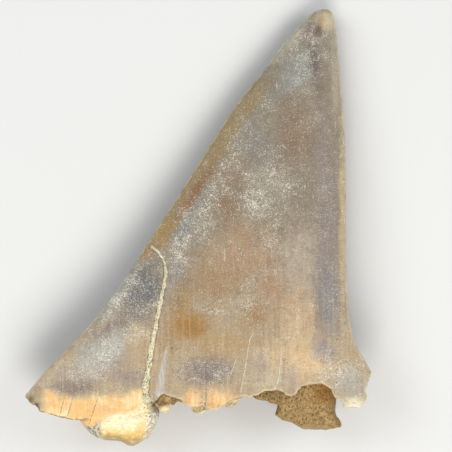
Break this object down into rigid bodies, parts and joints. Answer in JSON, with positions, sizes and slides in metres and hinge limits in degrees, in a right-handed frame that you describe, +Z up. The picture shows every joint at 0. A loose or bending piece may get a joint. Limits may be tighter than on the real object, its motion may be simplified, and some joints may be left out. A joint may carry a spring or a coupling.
{
  "type": "fossil mako shark tooth",
  "caption": "Slanting triangular fossil shark tooth crown with a ragged hollow base, a long crack, a stub of root and spongy dentine, lying on a worn flat spot.",
  "frame": {"origin": "middle of the bounding box, at the height of the surface it lies on", "axes": "+X from the cracked left corner to the right corner, +Y along the crown towards the tip, +Z up through the flat face"},
  "size_m": [0.0236, 0.03, 0.0053],
  "materials": {
    "fossil_tooth": "satin, slightly see-through fossil enamel"
  },
  "bodies": {
    "root": {"tooth": "fossil_tooth"}
  },
  "joints": []
}
